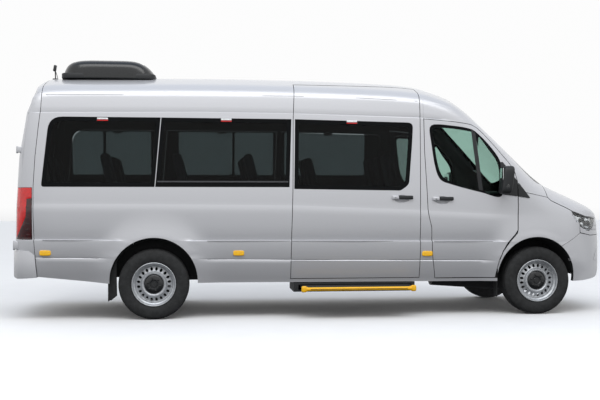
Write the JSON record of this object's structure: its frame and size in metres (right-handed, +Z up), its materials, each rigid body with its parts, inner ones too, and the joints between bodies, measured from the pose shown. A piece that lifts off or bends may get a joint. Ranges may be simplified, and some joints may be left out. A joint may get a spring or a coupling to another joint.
{
  "type": "passenger minibus",
  "caption": "Passenger minibus with a sliding side door, hinged rear doors, steered front wheels, roof air conditioner and a slide-out side step.",
  "frame": {"origin": "on the ground under the middle of the overall length and width", "axes": "+X forward, +Y to the vehicle's left, +Z up"},
  "size_m": [6.945, 2.426, 2.953],
  "materials": {
    "paint": "silver metallic",
    "dark_glass": "tinted",
    "clear_glass": "green tint",
    "black_plastic": "grained",
    "grey_plastic": "grained",
    "lamp_red": "clear red",
    "lamp_clear": "clear",
    "yellow_paint": "gloss",
    "seat_fabric": "woven",
    "underbody": "satin black",
    "cast_metal": "cast",
    "steel": "dull",
    "wheel_silver": "silver",
    "tyre": "matte",
    "rubber": "matte"
  },
  "bodies": {
    "body": {"floor": "underbody", "roof": "paint", "side_left": "paint", "side_right": "paint", "rear_frame": "paint", "cab_frame": "paint", "front_wings": "paint", "front_bumper": "paint", "rear_bumper": "paint", "grille": "black_plastic", "headlamps": "lamp_clear", "tail_lamps": "lamp_red", "windscreen": "dark_glass", "side_glass": "dark_glass", "sliding_door": "paint", "roof_air_conditioner": "black_plastic", "dashboard": "grey_plastic", "cab_seats": "seat_fabric", "passenger_seats": "seat_fabric", "seat_frames": "underbody", "side_step": "black_plastic", "wheel_arch_liners": "black_plastic", "mudflaps": "rubber", "engine": "cast_metal", "fuel_tank": "black_plastic", "exhaust": "steel", "propshaft": "underbody", "front_axle": "underbody", "rear_axle": "underbody"},
    "steering_wheel": {"steering_wheel": "black_plastic"},
    "knuckle_left": {"knuckle_left": "cast_metal"},
    "knuckle_right": {"knuckle_right": "cast_metal"},
    "front_wheel_left": {"front_wheel_left": "wheel_silver", "front_tyre_left": "tyre"},
    "front_wheel_right": {"front_wheel_right": "wheel_silver", "front_tyre_right": "tyre"},
    "rear_wheel_left": {"rear_wheel_left": "wheel_silver", "rear_tyre_left": "tyre"},
    "rear_wheel_right": {"rear_wheel_right": "wheel_silver", "rear_tyre_right": "tyre"},
    "front_door_left": {"front_door_left": "paint", "front_door_glass_left": "clear_glass", "mirror_left": "black_plastic"},
    "front_door_right": {"front_door_right": "paint", "front_door_glass_right": "clear_glass", "mirror_right": "black_plastic"},
    "rear_door_left": {"rear_door_left": "paint", "rear_door_glass_left": "dark_glass"},
    "rear_door_right": {"rear_door_right": "paint", "rear_door_glass_right": "dark_glass"},
    "bonnet": {"bonnet": "paint"},
    "step": {"step_tread": "yellow_paint"}
  },
  "joints": [
    {"name": "steer_left", "type": "hinge", "parent": "body", "child": "knuckle_left", "pos_m": [2.4685, 0.735, 0.385], "axis": [0, 0, 1], "range_deg": [-35, 35]},
    {"name": "steer_right", "type": "hinge", "parent": "body", "child": "knuckle_right", "pos_m": [2.4685, -0.735, 0.385], "axis": [0, 0, 1], "range_deg": [-35, 35]},
    {"name": "steering_wheel_turn", "type": "hinge", "parent": "body", "child": "steering_wheel", "pos_m": [1.6885, 0.45, 1.445], "axis": [-0.7986, 0, 0.6018], "range_deg": [-540, 540]},
    {"name": "front_wheel_left_spin", "type": "hinge", "parent": "knuckle_left", "child": "front_wheel_left", "pos_m": [2.4685, 0.86, 0.385], "axis": [0, 1, 0], "continuous": true},
    {"name": "front_wheel_right_spin", "type": "hinge", "parent": "knuckle_right", "child": "front_wheel_right", "pos_m": [2.4685, -0.86, 0.385], "axis": [0, 1, 0], "continuous": true},
    {"name": "rear_wheel_left_spin", "type": "hinge", "parent": "body", "child": "rear_wheel_left", "pos_m": [-1.8565, 0.86, 0.385], "axis": [0, 1, 0], "continuous": true},
    {"name": "rear_wheel_right_spin", "type": "hinge", "parent": "body", "child": "rear_wheel_right", "pos_m": [-1.8565, -0.86, 0.385], "axis": [0, 1, 0], "continuous": true},
    {"name": "front_door_left_open", "type": "hinge", "parent": "body", "child": "front_door_left", "pos_m": [2.1775, 0.996, 1.1], "axis": [0, 0, -1], "range_deg": [0, 70]},
    {"name": "front_door_right_open", "type": "hinge", "parent": "body", "child": "front_door_right", "pos_m": [2.1775, -0.996, 1.1], "axis": [0, 0, 1], "range_deg": [0, 70]},
    {"name": "rear_door_left_open", "type": "hinge", "parent": "body", "child": "rear_door_left", "pos_m": [-3.3605, 0.86, 0.82], "axis": [0, 0, -1], "range_deg": [0, 180]},
    {"name": "rear_door_right_open", "type": "hinge", "parent": "body", "child": "rear_door_right", "pos_m": [-3.3605, -0.86, 0.82], "axis": [0, 0, 1], "range_deg": [0, 180]},
    {"name": "bonnet_open", "type": "hinge", "parent": "body", "child": "bonnet", "pos_m": [2.6005, 0, 1.535], "axis": [0, -1, 0], "range_deg": [0, 50]},
    {"name": "step_slide", "type": "slide", "parent": "body", "child": "step", "axis": [0, 1, 0], "range_m": [0, 0.22]}
  ],
  "couplings": [
    {"joint": "steer_right", "follows": "steer_left", "ratio": 1},
    {"joint": "steering_wheel_turn", "follows": "steer_left", "ratio": 15.429}
  ]
}
